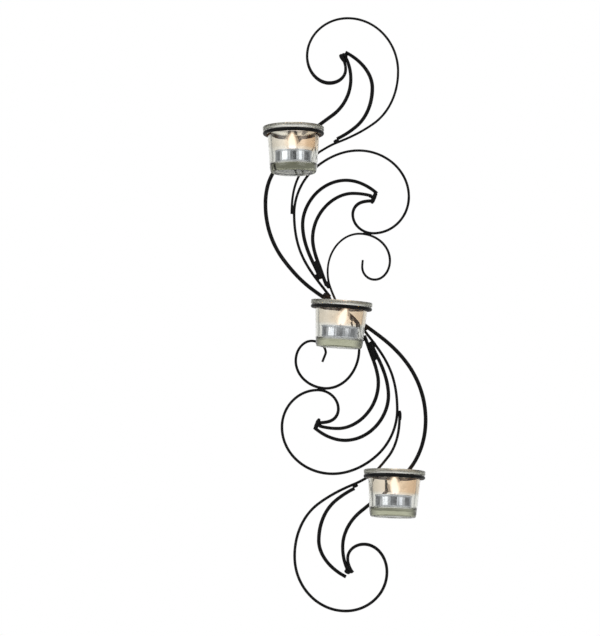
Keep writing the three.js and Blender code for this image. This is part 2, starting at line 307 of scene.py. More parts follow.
def piece(name, patches, finish, body, replaces=(), painted_light=None, crease=40,
          dull=None):
    """Joins patches (in mm, in the row frame) into one mesh and puts it on its body. Its
    painted-light argument is a function of the points that gives how strongly painted flame light
    shows on each, from 0 to 1, and dull one that gives how far the surface there has lost its
    polish."""
    vertices, faces, uvs = [], [], []
    start = 0
    for points, corners, uv in patches:
        vertices.append(points)
        faces += [[start + i for i in face] for face in corners]
        uvs.append(uv)
        start += len(points)
    points = np.vstack(vertices)
    mesh = bpy.data.meshes.new(name)
    mesh.from_pydata(points * MM, [], faces)
    layer = mesh.uv_layers.new(name="skin")
    layer.data.foreach_set("uv", np.vstack(uvs).astype(np.float32).ravel())
    mesh.polygons.foreach_set("use_smooth", np.ones(len(faces), bool))
    for called, value in (("painted_light", painted_light), ("dull", dull)):
        if value is not None:
            attribute = mesh.attributes.new(called, "FLOAT", "POINT")
            attribute.data.foreach_set("value", value(points).astype(np.float32))
    mesh.set_sharp_from_angle(angle=math.radians(crease))
    mesh.update()
    mesh.materials.append(finish)
    made = bpy.data.objects.new(name, mesh)
    bpy.context.scene.collection.objects.link(made)
    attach(made, body)
    if replaces:
        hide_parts(*replaces)
    return made


def wave(points, pitch, seed):
    """A smooth uneven value of about -1 to 1: the sum of three sines of different directions
    and phases drawn from the seed, with wavelengths round pitch."""
    draw = np.random.default_rng(seed)
    total = np.zeros(points.shape[:-1])
    for _ in range(3):
        way = draw.normal(size=3)
        way /= np.linalg.norm(way)
        length = pitch * draw.uniform(0.7, 1.5)
        total += np.sin(points @ way * 2 * np.pi / length + draw.uniform(0, 2 * np.pi))
    return total / 3


# ---- rods ------------------------------------------------------------------------------------
def unit(heading):
    """The direction in the plane of the scroll of a heading in degrees."""
    angle = np.radians(heading)
    return np.array([np.cos(angle), np.sin(angle)])


def bend(start, end):
    """Four control points of a cubic curve between two stations that keeps to a circular arc
    where their tangents allow one: each handle is 4/3 tan(turn/4) / tan(turn/2) of the way to
    the point where the tangents meet, or else a third of the chord."""
    a, b = np.array(start[:2], float), np.array(end[:2], float)
    leave, arrive = unit(start[2]), unit(end[2])
    chord = b - a
    sine = leave[0] * arrive[1] - leave[1] * arrive[0]
    handles = np.full(2, np.linalg.norm(chord) / 3)
    if abs(sine) > 1e-6:
        first = (chord[0] * arrive[1] - chord[1] * arrive[0]) / sine
        second = (leave[0] * chord[1] - leave[1] * chord[0]) / sine
        if first > 0 and second > 0:
            turning = abs(math.atan2(sine, leave @ arrive))
            share = 4 / 3 * math.tan(turning / 4) / math.tan(turning / 2)
            handles = np.array([first, second]) * share
    return np.array([a, a + leave * handles[0], b - arrive * handles[1], b])


def centre_line(stations, step):
    """Points about `step` apart on the curve through the stations, and the unit tangent at each.
    A cubic curve is (1-t)^3 p0 + 3 t (1-t)^2 p1 + 3 t^2 (1-t) p2 + t^3 p3."""
    points, tangents = [], []
    for start, end in zip(stations, stations[1:]):
        p = bend(start, end)
        count = max(4, int(np.linalg.norm(np.diff(p, axis=0), axis=1).sum() / step))
        t = np.linspace(0, 1, count, endpoint=False)[:, None]
        if end is stations[-1]:
            t = np.linspace(0, 1, count + 1)[:, None]
        points.append((1 - t) ** 3 * p[0] + 3 * t * (1 - t) ** 2 * p[1]
                      + 3 * t ** 2 * (1 - t) * p[2] + t ** 3 * p[3])
        tangents.append((1 - t) ** 2 * (p[1] - p[0]) + 2 * t * (1 - t) * (p[2] - p[1])
                        + t ** 2 * (p[3] - p[2]))
    points, tangents = np.vstack(points), np.vstack(tangents)
    return points, tangents / np.linalg.norm(tangents, axis=1)[:, None]


def lower_stations(branch):
    """The upper half's stations, turned and shifted by hand-bending, then turned by 180 degrees."""
    turned = list(branch.get("tail", []))
    first = np.array(branch["stations"][0][:2], float)
    angle = math.radians(branch["turn"])
    turn = np.array([[math.cos(angle), -math.sin(angle)], [math.sin(angle), math.cos(angle)]])
    for x, z, heading in branch["stations"][len(turned):]:
        place = first + turn @ (np.array([x, z]) - first) + np.array(branch["shift"])
        turned.append([-place[0], -place[1], heading + branch["turn"] + 180])
    return turned


def rod_skin(stations, thickness, seed):
    """A round section carried along the centre line: centre + r (cos a across + sin a towards
    the wall). Both ends are sheared flat with a narrow broken edge. r is half the thickness and
    COAT, uneven by ENAMEL_RUN."""
    centre, tangent = centre_line(stations, ROD_STEP)
    steps = np.linalg.norm(np.diff(centre, axis=0), axis=1)
    share = np.concatenate([[0], np.cumsum(steps)]) / steps.sum()
    shares, sizes = zip(*thickness)
    radius = np.interp(share, shares, sizes) / 2 + COAT
    flat = np.array([0.0, 1 - CUT_EDGE / radius[0], 1.0])
    centre = np.vstack([centre[:1], centre[:1], centre[:1] + tangent[:1] * CUT_EDGE,
                        centre[1:-1],
                        centre[-1:] - tangent[-1:] * CUT_EDGE, centre[-1:], centre[-1:]])
    radius = np.concatenate([radius[0] * flat, radius[1:-1], radius[-1] * flat[::-1]])
    tangent = np.vstack([tangent[[0, 0]], tangent, tangent[[-1, -1]]])
    angle = np.arange(ROD_SIDES) * 2 * np.pi / ROD_SIDES
    across = np.stack([-tangent[:, 1], np.zeros(len(tangent)), tangent[:, 0]], axis=-1)
    middle = np.stack([centre[:, 0], np.zeros(len(centre)), centre[:, 1]], axis=-1)
    ray = (np.cos(angle)[None, :, None] * across[:, None, :]
           + np.sin(angle)[None, :, None] * np.array([0.0, 1.0, 0.0]))
    skin = middle[:, None, :] + radius[:, None, None] * ray
    uneven = ENAMEL_RUN * wave(skin, ENAMEL_RUN_PITCH, seed) * (radius > 0)[:, None]
    return patch(skin + uneven[..., None] * ray + SCROLL_MIDDLE)


def make_rods(finish):
    """The spine, and each of the other rods in the upper and the lower half."""
    # The rods carry painted flame light near the cups.
    piece("painted_spine_rod", [rod_skin(SPINE_STATIONS, SPINE_THICKNESS, 1)], finish,
          "scroll_frame", ["spine_rod"], painted_rod_flame_light)
    for number, (name, branch) in enumerate(BRANCHES.items()):
        halves = {"upper": branch["stations"], "lower": lower_stations(branch)}
        for half, stations in halves.items():
            seed = 10 + 2 * number + (half == "lower")
            piece(f"painted_{half}_{name}", [rod_skin(stations, branch[half], seed)], finish,
                  "scroll_frame", [f"{half}_{name}"], painted_rod_flame_light)


# ---- weld beads ------------------------------------------------------------------------------
def bead_skin(middle, way, side, length, width, depth, seed):
    """A bead of weld metal: an ellipsoid along `way`, blunted by a power under 1, whose section
    swells and narrows in ripples as the puddle froze, and which is a little uneven."""
    rows, places = 26, 18
    t = np.linspace(0, 1, rows)
    angle = np.arange(places) * 2 * np.pi / places
    ripple = 1 + BEAD_RIPPLE * np.cos(t * length / BEAD_RIPPLE_PITCH * 2 * np.pi)
    round_off = np.sin(np.pi * t) ** BEAD_BLUNTNESS * ripple
    along = -np.cos(np.pi * t) * length / 2
    out = np.cross(way, side)
    ray = (np.cos(angle)[None, :, None] * side * width / 2
           + np.sin(angle)[None, :, None] * out * depth / 2)
    core = middle + along[:, None, None] * way
    flesh = round_off[:, None, None] * ray
    lumps = 1 + BEAD_LUMPS * wave(core + flesh, BEAD_LUMP_PITCH, seed)
    return patch(core + lumps[..., None] * flesh)


def flat_bead(x, z, heading, length, width, seed, y=0.0):
    """A bead that lies in the plane of the scroll, or y in front of or behind it."""
    cosine, sine = unit(heading)
    way = np.array([cosine, 0.0, sine])
    side = np.array([-sine, 0.0, cosine])
    middle = np.array([x, y, z]) + SCROLL_MIDDLE
    return bead_skin(middle, way, side, length, width, width * WELD_DEPTH_SHARE, seed)


def make_welds(finish):
    """The beads between the rods of each half, as one piece."""
    for half in ("upper", "lower"):
        patches = []
        for number, (name, beads) in enumerate(WELDS.items()):
            for extra, (x, z, heading, length, width) in enumerate(beads):
                if half == "lower":
                    dx, dz = LOWER_WELD_SHIFT[name]
                    x, z, heading = -x + dx, -z + dz, heading + 180
                seed = 100 + 10 * number + extra + (half == "lower") * 500
                patches.append(flat_bead(x, z, heading, length, width, seed))
        # The beads carry the same painted flame light as the rods.
        piece(f"{half}_weld_beads", patches, finish, "scroll_frame",
              painted_light=painted_rod_flame_light)


def nearest_on_spine(x, z):
    """The point on the spine's centre line nearest to a place, and the way it runs there."""
    points, tangents = centre_line(SPINE_STATIONS, ROD_STEP)
    nearest = np.argmin(np.linalg.norm(points - np.array([x, z]), axis=1))
    return points[nearest], tangents[nearest]


# ---- cups ------------------------------------------------------------------------------------
def cup_frame(name):
    """The middle of a cup's ring and its right, back and up directions: up is the axis along
    which the glass lifts out."""
    low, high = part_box(f"{name}_ring")
    middle = (np.array(low) + np.array(high)) / 2 / MM
    joint = next(j for j in frame["joints"] if j["name"] == f"{name}_glass_lift")
    up = np.array(joint["axis"], float)
    up /= np.linalg.norm(up)
    back = np.array([0.0, 1.0, 0.0])
    back = back - (back @ up) * up
    back /= np.linalg.norm(back)
    return middle, np.cross(back, up), back, up


def place(cup, local):
    """Turns points given as right, back, up of a cup's ring into the row frame."""
    middle, right, back, up = cup
    return middle + local @ np.stack([right, back, up])


def spans(cup, name):
    """How far a CAD node reaches along the cup's axis and from it: its lowest and highest
    height and its greatest radius, from the middle of the ring."""
    middle, right, back, up = cup
    corners = np.array([v.co for v in frame["nodes"][name].data.vertices]) / MM - middle
    height = corners @ up
    return height.min(), height.max(), np.hypot(corners @ right, corners @ back).max()


def rounded(profile, steps=6):
    """A profile of [radius, height, rounding] with its corners rounded: each corner is the
    quadratic curve (1-t)^2 a + 2 t (1-t) corner + t^2 b between the points a and b that lie
    `rounding` before and after it."""
    outline = [np.array(profile[0][:2], float)]
    t = np.linspace(0, 1, steps)[:, None]
    for before, corner, after in zip(profile, profile[1:], profile[2:]):
        here = np.array(corner[:2], float)
        towards = [np.array(p[:2], float) - here for p in (before, after)]
        reach = [min(corner[2], np.linalg.norm(v) * 0.48) / np.linalg.norm(v) for v in towards]
        a, b = (here + v * r for v, r in zip(towards, reach))
        outline.extend((1 - t) ** 2 * a + 2 * t * (1 - t) * here + t ** 2 * b)
    outline.append(np.array(profile[-1][:2], float))
    return np.array(outline)


def divided(outline, step):
    """The outline with points added so that no stretch of it is longer than `step`."""
    parts = [outline[:1]]
    for a, b in zip(outline, outline[1:]):
        count = max(1, int(np.ceil(np.linalg.norm(b - a) / step)))
        t = np.linspace(0, 1, count + 1)[1:, None]
        parts.append(a + (b - a) * t)
    return np.vstack(parts)


def turned_points(outline, places=CUP_PLACES):
    """A profile turned about the cup's axis: (r cos a, r sin a, height)."""
    angle = np.arange(places) * 2 * np.pi / places
    radius, height = outline[:, :1], outline[:, 1:]
    return np.stack([radius * np.cos(angle), radius * np.sin(angle),
                     np.broadcast_to(height, (len(outline), places))], axis=-1)


def glass_skin(cup, name, seed):
    """Pressed glass: the profile turned, with the sole hollowed. Below the rim the wall wanders
    by up to WALL_WANDER and a quarter of that more in short waves, and has two faint mould
    seams, each exp(-(sin a / SEAM_WIDTH)^2) high."""
    bottom, top, rim = spans(cup, f"{name}_glass")
    ledge = spans(cup, f"{name}_ring")[1] + TOUCH_GAP
    floor = spans(cup, f"{name}_tealight_cup")[0] - TOUCH_GAP
    base, body, mouth, well = BASE_RADIUS, BODY_RADIUS, MOUTH_RADIUS, WELL_RADIUS
    outline = divided(rounded([
        [0, bottom + 1.0, 0], [base - 6.5, bottom + 1.0, 2.5], [base - 4.4, bottom, 0.9],
        [base - 0.9, bottom + 0.2, 1.5], [base, bottom + 3.6, 2.2], [body, -1.0, 1.2],
        [body + 0.4, ledge, 0.6], [rim - 0.1, ledge + 0.1, 0.8], [rim, top, 0.9],
        [mouth + 1.2, top - 0.1, 0.9], [mouth, top - 2.6, 2.4],
        [well + 0.25, floor + 1.2, 1.2], [well - 1.0, floor, 1.0],
        [0, floor, 0],
    ]), 1.4)
    local = turned_points(outline)
    radial = local * np.array([1.0, 1.0, 0.0])
    reach = np.linalg.norm(radial, axis=-1, keepdims=True)
    ray = radial / np.maximum(reach, 1e-6)
    angle = np.arctan2(local[..., 1], local[..., 0])
    outside = (np.arange(len(outline)) < len(outline) * 0.55)[:, None]
    seams = SEAM_RISE * np.exp(-(np.sin(angle) / SEAM_WIDTH) ** 2) * outside
    long_waves = WALL_WANDER * wave(local, 26.0, seed)
    short_waves = WALL_WANDER / 4 * wave(local, 9.0, seed + 1)
    wander = long_waves + short_waves + seams
    below_rim = np.clip((ledge - 1.0 - local[..., 2]) / 6.0, 0, 1)
    fade = np.clip(reach[..., 0] / 12.0, 0, 1) * below_rim
    return patch(place(cup, local + (wander * fade)[..., None] * ray))


def ring_skin(cup, name, seam):
    """A ring of wire: a circle of wire section carried round, with the flash of its butt weld
    as a narrow swelling at `seam` degrees to the right of the front."""
    low, high, outer = spans(cup, f"{name}_ring")
    middle_radius = outer - (high - low) / 2
    rows, places = 160, 20
    turn = np.arange(rows) * 2 * np.pi / rows
    angle = np.arange(places) * 2 * np.pi / places
    off = (turn - math.radians(seam - 90) + np.pi) % (2 * np.pi) - np.pi
    wire = (high - low) / 2 * (1 + 0.12 * np.exp(-(off / 0.045) ** 2))
    radius = middle_radius + wire[:, None] * np.cos(angle)
    local = np.stack([radius * np.cos(turn)[:, None], radius * np.sin(turn)[:, None],
                      wire[:, None] * np.sin(angle)], axis=-1)
    return patch(place(cup, local), closed=True)


def pleated(local, outer, depth, low, high):
    """Points pushed in by pleats: depth times the square of the sine of the pleat angle, faded
    in above `low` and out below `high`."""
    angle = np.arctan2(local[..., 1], local[..., 0])
    height = local[..., 2]
    fade = np.clip((height - low) / 1.5, 0, 1) * np.clip((high - height) / 1.2, 0, 1)
    reach = np.maximum(np.linalg.norm(local[..., :2], axis=-1), 1e-6)
    wall = np.clip((reach - outer + 2.7) / 1.0, 0, 1)
    push = depth * np.sin(angle * PLEATS / 2) ** 2 * fade * wall
    moved = local.copy()
    moved[..., :2] *= (1 - push / reach)[..., None]
    return moved


def tealight_skin(cup, name):
    """A drawn foil cup: a thin wall with a stepped sole, shallow pleats and dents, and a rolled
    lip."""
    bottom, top, outer = spans(cup, f"{name}_tealight_cup")
    outer -= FOIL_LIP_ROLL
    outline = divided(rounded([
        [0, bottom + 0.5, 0], [9.0, bottom + 0.5, 0.6], [9.8, bottom, 0.6],
        [outer - 2.2, bottom, 1.0], [outer - 0.45, bottom + 1.7, 1.2],
        [outer - 0.25, top - 1.5, 0.5], [outer + 0.35, top - 1.1, 0.3],
        [outer + 0.5, top - 0.5, 0.3], [outer + 0.2, top, 0.3],
        [outer - 0.55, top, 0.3], [outer - 0.6, top - 1.4, 0.4],
        [outer - 0.8, bottom + 1.8, 1.0], [outer - 2.4, bottom + 0.35, 0.8],
        [10.0, bottom + 0.35, 0.4], [9.2, bottom + 0.85, 0.4], [0, bottom + 0.85, 0],
    ], 4), 0.9)
    local = turned_points(outline, PLEATS * 8)
    local = pleated(local, outer, PLEAT_DEPTH, bottom + 0.8, top - 1.5)
    on_wall = np.hypot(local[..., 0], local[..., 1]) > 17.0
    dents = FOIL_DENT * wave(local, 14.0, 7 + CUPS.index(name)) * on_wall
    local[..., :2] *= (1 - dents / outer)[..., None]
    return patch(place(cup, local))


def wax_skin(cup, name, seed):
    """Candle wax cast in the foil cup: it stands up the wall in a thin meniscus, dips into a
    melted pool round the wick, and climbs the wick a little. Its bore passes the wick."""
    low, top, _ = spans(cup, f"{name}_wax")
    outline = divided(rounded([
        [6.3, low, 0], [14.6, low, 1.0], [17.6, low + 1.9, 1.2], [18.05, top + 0.5, 0.2],
        [17.7, top + 0.45, 0.3], [16.6, top - 0.35, 0.8], [12.5, top - 0.55, 2.0],
        [11.2, top - 1.0, 1.0], [4.0, top - 1.25, 2.0], [1.35, top - 0.6, 0.3],
        [1.2, top - 0.9, 0.1], [1.2, low + 1.1, 0.1], [6.3, low + 1.1, 0.1], [6.3, low, 0],
    ], 5), 0.9)[:-1]
    local = turned_points(outline, 96)
    flat = (local[..., 2] > top - 1.3) & (np.linalg.norm(local[..., :2], axis=-1) < 17.0)
    local[..., 2] += POOL_UNEVEN * wave(local, 11.0, seed) * flat
    return patch(place(cup, local), closed=True)


def sustainer_skin(cup, name):
    """The stamped foot of the wick: a thin plate whose collar is pinched up round the wick."""
    low = spans(cup, f"{name}_wick_sustainer")[0]
    outline = divided(rounded([
        [0, low, 0], [6.0, low, 0.2], [6.0, low + 0.35, 0.2], [2.4, low + 0.4, 0.5],
        [1.15, low + 0.8, 0.2], [0, low + 0.8, 0],
    ], 4), 0.6)
    return patch(place(cup, turned_points(outline, 48)))


def wick_skin(cup, name, shape, seed):
    """A braided wick, straight in the wax and curling over as it burns: its centre goes
    sideways with the power 1.6 of its height above the wax, and its strands show as a lobed,
    twisted section."""
    rows, places = 44, 24
    low, high, _ = spans(cup, f"{name}_wick")
    wax_top = spans(cup, f"{name}_wax")[1] - 1.0
    t = np.linspace(0, 1, rows)
    height = low + (high - low) * t
    curl = shape["curl"] * np.clip((height - wax_top) / (high - wax_top), 0, 1) ** 1.6
    side = unit(shape["turn"])
    radius = 0.78 * np.ones(rows)
    radius *= 1 + 0.16 * np.clip((height - wax_top) / 3.0, 0, 1)
    radius[-4:] *= np.array([0.97, 0.8, 0.5, 0.0])
    radius[0] = 0.0
    angle = np.arange(places) * 2 * np.pi / places
    strands = 1 + 0.09 * np.cos(3 * angle[None, :] - height[:, None] * 2.6)
    reach = radius[:, None] * strands
    local = np.stack([side[0] * curl[:, None] + reach * np.cos(angle),
                      side[1] * curl[:, None] + reach * np.sin(angle),
                      np.broadcast_to(height[:, None], (rows, places))], axis=-1)
    local = local + 0.1 * wave(local, 1.3, seed)[..., None] * (radius > 0)[:, None, None]
    return patch(place(cup, local))


def flame_skin(cup, name, shape, swell, lift, share):
    """A flame: a drop whose radius is swell times t^0.42 (1 - t)^0.8, scaled so that its widest
    part is swell, and whose middle leans sideways with the power 1.2 of its height and sways by
    FLAME_SWAY. It stands `lift` above the foil's lip and is `share` of the whole flame's
    height."""
    rows, places = 48, 32
    foot = spans(cup, f"{name}_tealight_cup")[1] + lift
    t = np.linspace(0, 1, rows)
    drop = t ** 0.42 * (1 - t) ** 0.8
    radius = swell * drop / drop.max()
    height = foot + shape["height"] * share * t
    lean = shape["foot"] + shape["lean"] * t ** 1.2
    sway = FLAME_SWAY * np.sin(t * 2.6 * np.pi)
    angle = np.arange(places) * 2 * np.pi / places
    local = np.stack([(lean + sway)[:, None] + radius[:, None] * np.cos(angle),
                      radius[:, None] * np.sin(angle),
                      np.broadcast_to(height[:, None], (rows, places))], axis=-1)
    return patch(place(cup, local))


def near_flame(cup, name, side, reach, above=0.0):
    """How close points are to the flame, from 0 to 1: exp(-(distance / reach)^2), with the
    distance measured to a point `side` to the right of the cup's axis. It is the mask of painted
    flame light: painted on for a flame at rest, it stays when the tealight is lifted. With
    `above`, it fades out over that many millimetres down to 1 mm under the foil's lip, and to a
    quarter on the glass's rim."""
    lip = spans(cup, f"{name}_tealight_cup")[1]
    ledge = spans(cup, f"{name}_ring")[1]
    middle = place(cup, np.array([side, 0.0, lip + PAINTED_LIGHT_HEIGHT]))
    up = cup[3]

    def painted_light(points):
        near = np.exp(-(np.linalg.norm(points - middle, axis=-1) / reach) ** 2)
        if above:
            height = (points - cup[0]) @ up
            near = near * np.clip((height - lip + 1.0) / above, 0, 1)
            near = near * np.clip((ledge + 0.5 - height) / 2.0, 0.25, 1)
        return near
    return painted_light


def rim_dullness(cup, name):
    """The rim is polished less well than the wall: from 0 half a millimetre below the top of
    the ring to 1 a millimetre above it."""
    ledge = spans(cup, f"{name}_ring")[1]
    return lambda points: np.clip(((points - cup[0]) @ cup[3] - ledge + 0.5) / 1.5, 0, 1)


def painted_rod_flame_light(points):
    """How strongly painted flame light shows on the enamel near the flames: from 0 at the given
    reach from a flame to 1 closer to it by the given fade. Like the light on the rings, the glass
    and the wax, it is painted on."""
    painted_light = np.zeros(len(points))
    for name in CUPS:
        cup = cup_frame(name)
        lip = spans(cup, f"{name}_tealight_cup")[1]
        flame = place(cup, np.array([0.0, 0.0, lip + PAINTED_LIGHT_HEIGHT]))
        off = np.linalg.norm(points - flame, axis=1)
        painted_light = np.maximum(painted_light, np.clip((ROD_GLOW_REACH - off) / ROD_PAINTED_LIGHT_FADE, 0, 1))
    return painted_light


def painted_ring_flame_light(cup, name):
    """How strongly the painted light of its flame shows on the enamel of a ring, from 0 to 1: it
    grows from the middle of the wire to its inner side, with the square root. It is painted flame
    light."""
    low, high, outer = spans(cup, f"{name}_ring")
    wire = (high - low) / 2

    def painted_light(points):
        local = points - cup[0]
        reach = np.hypot(local @ cup[1], local @ cup[2])
        return np.sqrt(np.clip((outer - wire - reach) / wire, 0, 1))
    return painted_light


def make_flame_lamp(cup, name):
    """The light that a flame gives: a small warm lamp in its middle. It stays where it is when
    the tealight is lifted."""
    lamp = bpy.data.lights.new(f"{name}_flame_lamp", "POINT")
    lamp.color = FLAME_COLOUR
    lamp.energy = FLAME_POWER
    lamp.shadow_soft_size = FLAME_LAMP_RADIUS_M
    made = bpy.data.objects.new(f"{name}_flame_lamp", lamp)
    lip = spans(cup, f"{name}_tealight_cup")[1]
    made.location = place(cup, np.array([FLAME[name]["foot"], 0.0, lip + LAMP_HEIGHT])) * MM
    made.visible_camera = False
    made.visible_transmission = False
    made.visible_glossy = False
    bpy.context.scene.collection.objects.link(made)


def make_cups(finishes):
    """Each ring, and the glass, the tealight and the flame in it."""
    for number, name in enumerate(CUPS):
        cup = cup_frame(name)
        glass, tealight = f"{name}_glass_cup", f"{name}_tealight"
        # The ring's enamel carries painted flame light on the inner side of its wire.
        piece(f"{name}_wire_ring", [ring_skin(cup, name, RING_SEAM[name])],
              finishes["enamel"], "scroll_frame", [f"{name}_ring"],
              painted_light=painted_ring_flame_light(cup, name))
        # The glass carries painted flame light: a warm tint of its colour near the flame.
        piece(f"{name}_pressed_glass", [glass_skin(cup, name, 40 + number)],
              finishes["glass"], glass, [f"{name}_glass"],
              painted_light=near_flame(cup, name, *FLAME[name]["painted_light"], above=4.0), crease=60,
              dull=rim_dullness(cup, name))
        piece(f"{name}_foil_cup", [tealight_skin(cup, name)], finishes["foil"], tealight,
              [f"{name}_tealight_cup"], crease=60)
        # The wax carries painted flame light: it glows of itself near the flame.
        piece(f"{name}_candle_wax", [wax_skin(cup, name, 50 + number)], finishes["wax"],
              tealight, [f"{name}_wax"], painted_light=near_flame(cup, name, 0.0, 17.0),
              crease=60)
        piece(f"{name}_wick_foot", [sustainer_skin(cup, name)], finishes["tinplate"],
              tealight, [f"{name}_wick_sustainer"])
        shape = FLAME[name]
        piece(f"{name}_braided_wick", [wick_skin(cup, name, shape, 60 + number)],
              finishes["cotton"], tealight, [f"{name}_wick"], crease=70)
        for part, swell, lift, share in FLAME_SHELLS:
            shell = piece(f"{name}_flame_{part}",
                          [flame_skin(cup, name, shape, swell, lift, share)],
                          finishes[part], tealight, crease=80)
            shell.visible_shadow = False
        make_flame_lamp(cup, name)


def make_ring_welds(finish):
    """A bead behind each ring, where its wire meets the spine."""
    patches = []
    for number, name in enumerate(CUPS):
        middle, right, _, up = cup_frame(name)
        local = middle - SCROLL_MIDDLE
        points, _ = centre_line(SPINE_STATIONS, ROD_STEP)
        off_level = np.abs(points[:, 1] - local[2])
        near = np.abs(points[:, 0] - local[0]) < RING_WELD_REACH
        joint = points[np.argmin(np.where(near, off_level, np.inf))]
        spot = np.array([joint[0], RING_WELD_Y, local[2]]) + SCROLL_MIDDLE
        patches.append(bead_skin(spot, right, up, *RING_WELD, 700 + number))
    piece("ring_weld_beads", patches, finish, "scroll_frame")


# ---- hanger tabs -----------------------------------------------------------------------------
def arc(x, z, radius, start, end, steps=16):
    """Points on a circle from one angle to another, in degrees."""
    angle = np.radians(np.linspace(start, end, steps))
    return np.stack([x + radius * np.cos(angle), z + radius * np.sin(angle)], axis=-1)


def reach_round(outline, angle):
    """The distance from the origin to a closed outline in each direction, read from dense
    points on it."""
    closed = divided(np.vstack([outline, outline[:1]]), 0.1)
    bearing = np.arctan2(closed[:, 1], closed[:, 0])
    return np.interp(angle, np.sort(bearing),
                     np.linalg.norm(closed, axis=1)[np.argsort(bearing)], period=2 * np.pi)


def tab_skin(name):
    """A pressed plate: in each direction from a point inside the keyhole the section goes out
    along the back, up the rim, in along the front and down the keyhole's edge, with each edge
    broken by 0.25 mm."""
    low, high = (np.array(c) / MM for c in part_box(name))
    middle = (low + high) / 2
    half_width, half_height = (high[0] - low[0]) / 2, (high[2] - low[2]) / 2
    corner, head, slot = 3.0, 3.25, 1.7
    head_height, slot_height, inside = 0.5, 6.5, 2.2
    side, end = half_width - corner, half_height - corner
    outline = np.vstack([arc(side, -end, corner, -90, 0), arc(side, end, corner, 0, 90),
                         arc(-side, end, corner, 90, 180), arc(-side, -end, corner, 180, 270)])
    neck = math.degrees(math.asin(slot / head))
    keyhole = np.vstack([arc(0, head_height, head, 90 + neck, 450 - neck, 48),
                         arc(0, slot_height, slot, 0, 180)])
    angle = np.linspace(0, 2 * np.pi, 144, endpoint=False)
    origin = np.array([0.0, inside])
    outer, inner = (reach_round(o - origin, angle) for o in (outline, keyhole))
    front, back, edge = low[1], high[1], 0.25
    section = [(outer - edge, back), (outer, back - edge), (outer, front + edge),
               (outer - edge, front), (inner + edge, front), (inner, front + edge),
               (inner, back - edge), (inner + edge, back)]
    rows = [np.stack([middle[0] + reach * np.cos(angle), np.full(len(angle), depth),
                      middle[2] + inside + reach * np.sin(angle)], axis=-1)
            for reach, depth in section]
    return patch(np.array(rows), closed=True)


def make_tabs(finish):
    """Each tab, and the two beads that hold it to the back of the spine."""
    beads = []
    for number, half in enumerate(TABS):
        name = f"{half}_hanger_tab"
        piece(f"{half}_keyhole_tab", [tab_skin(name)], finish, "scroll_frame", [name],
              crease=50)
        low, high = (np.array(c) / MM - SCROLL_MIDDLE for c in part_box(name))
        middle = (low + high) / 2
        for step in (-1, 1):
            where, way = nearest_on_spine(middle[0] + step * TAB_WELD_STEP[0],
                                          middle[2] + step * TAB_WELD_STEP[1])
            heading = math.degrees(math.atan2(way[1], way[0]))
            beads.append(flat_bead(*where, heading, *TAB_WELD, 800 + 10 * number + step,
                                   y=TAB_WELD_Y))
    piece("tab_weld_beads", beads, finish, "scroll_frame")


# ---- finishes --------------------------------------------------------------------------------
def group_socket(tree, name, direction, kind, value=None):
    """Adds an input or an output to a node group."""
    socket = tree.interface.new_socket(name=name, in_out=direction, socket_type=kind)
    if value is not None:
        socket.default_value = value


def node(tree, kind, **values):
    """A node with its settings and, by name, its unlinked inputs set."""
    made = tree.nodes.new(kind)
    for name, value in values.items():
        if name in made.inputs:
            made.inputs[name].default_value = value
        else:
            setattr(made, name, value)
    return made


def ramp(tree, factor, stops):
    """A colour ramp fed by `factor`, with stops of (place, colour)."""
    made = tree.nodes.new("ShaderNodeValToRGB")
    elements = made.color_ramp.elements
    while len(elements) < len(stops):
        elements.new(0.5)
    for element, (where, colour) in zip(elements, stops):
        element.position = where
        element.color = (*colour, 1.0)
    tree.links.new(factor, made.inputs["Fac"])
    return made.outputs["Color"]


def spread(tree, value, low, high):
    """A 0 to 1 value carried to a range."""
    made = node(tree, "ShaderNodeMapRange")
    made.inputs["To Min"].default_value = low
    made.inputs["To Max"].default_value = high
    tree.links.new(value, made.inputs["Value"])
    return made.outputs["Result"]


def mottle_group():
    """Uneven coat: a coarse and a fine noise in object coordinates. Puts out a colour mask, a
    roughness value and a height, each from 0 to 1, for whatever finish uses it."""
    tree = bpy.data.node_groups.new("uneven_coat", "ShaderNodeTree")
    group_socket(tree, "Coarse Scale", "INPUT", "NodeSocketFloat", 60.0)
    group_socket(tree, "Fine Scale", "INPUT", "NodeSocketFloat", 900.0)
    group_socket(tree, "Mask", "OUTPUT", "NodeSocketFloat")
    group_socket(tree, "Roughness", "OUTPUT", "NodeSocketFloat")
    group_socket(tree, "Height", "OUTPUT", "NodeSocketFloat")
    given, put = node(tree, "NodeGroupInput"), node(tree, "NodeGroupOutput")
    where = node(tree, "ShaderNodeTexCoord").outputs["Object"]
    coarse = node(tree, "ShaderNodeTexNoise", Detail=4.0, Roughness=0.6)
    fine = node(tree, "ShaderNodeTexNoise", Detail=3.0, Roughness=0.55)
    specks = node(tree, "ShaderNodeTexVoronoi", feature="F1")
    for made, scale in ((coarse, "Coarse Scale"), (fine, "Fine Scale"), (specks, "Fine Scale")):
        tree.links.new(where, made.inputs["Vector"])
        tree.links.new(given.outputs[scale], made.inputs["Scale"])
    mask = node(tree, "ShaderNodeMapRange")
    mask.inputs["From Min"].default_value = 0.35
    mask.inputs["From Max"].default_value = 0.7
    tree.links.new(coarse.outputs["Fac"], mask.inputs["Value"])
    both = node(tree, "ShaderNodeMath", operation="MULTIPLY_ADD")
    both.inputs[1].default_value = 0.5
    tree.links.new(fine.outputs["Fac"], both.inputs[0])
    half = node(tree, "ShaderNodeMath", operation="MULTIPLY")
    half.inputs[1].default_value = 0.5
    tree.links.new(mask.outputs["Result"], half.inputs[0])
    tree.links.new(half.outputs[0], both.inputs[2])
    height = node(tree, "ShaderNodeMath", operation="MULTIPLY")
    tree.links.new(fine.outputs["Fac"], height.inputs[0])
    tree.links.new(specks.outputs["Distance"], height.inputs[1])
    tree.links.new(mask.outputs["Result"], put.inputs["Mask"])
    tree.links.new(both.outputs[0], put.inputs["Roughness"])
    tree.links.new(height.outputs[0], put.inputs["Height"])
    return tree


